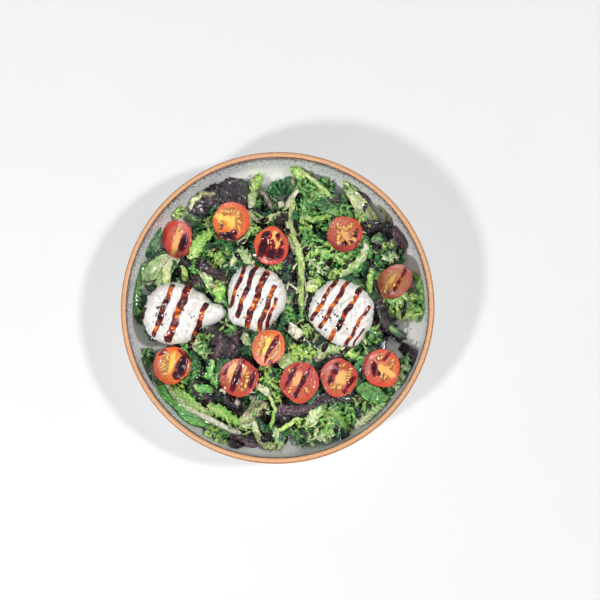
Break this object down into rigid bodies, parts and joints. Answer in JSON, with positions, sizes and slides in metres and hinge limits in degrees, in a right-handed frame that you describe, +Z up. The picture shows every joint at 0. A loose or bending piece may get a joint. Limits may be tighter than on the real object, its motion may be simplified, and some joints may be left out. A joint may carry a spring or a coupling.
{
  "type": "caprese salad",
  "caption": "Leaf salad with burrata, cherry tomato halves and balsamic drizzle, heaped in a shallow round stoneware bowl.",
  "frame": {"origin": "centre of the foot ring's underside, on the surface the bowl stands on", "axes": "+Z up through the middle of the bowl; +X and +Y run to the right and the far side of the salad as it is served"},
  "size_m": [0.24, 0.24, 0.0488],
  "materials": {
    "stoneware": "speckled grey to cream reactive glaze with a bare tan lip",
    "leaves": "mixed green and purple salad leaves, moist",
    "tomato": "cut cherry tomato, wet flesh and glossy skin",
    "burrata": "creamy torn cheese, soft satin"
  },
  "bodies": {
    "root": {"bowl": "stoneware", "salad": "leaves", "tomato_half_01": "tomato", "tomato_half_02": "tomato", "tomato_half_03": "tomato", "tomato_half_04": "tomato", "tomato_half_05": "tomato", "tomato_half_06": "tomato", "tomato_half_07": "tomato", "tomato_half_08": "tomato", "tomato_half_09": "tomato", "tomato_half_10": "tomato", "tomato_half_11": "tomato", "burrata_01": "burrata", "burrata_02": "burrata", "burrata_03": "burrata"}
  },
  "joints": []
}
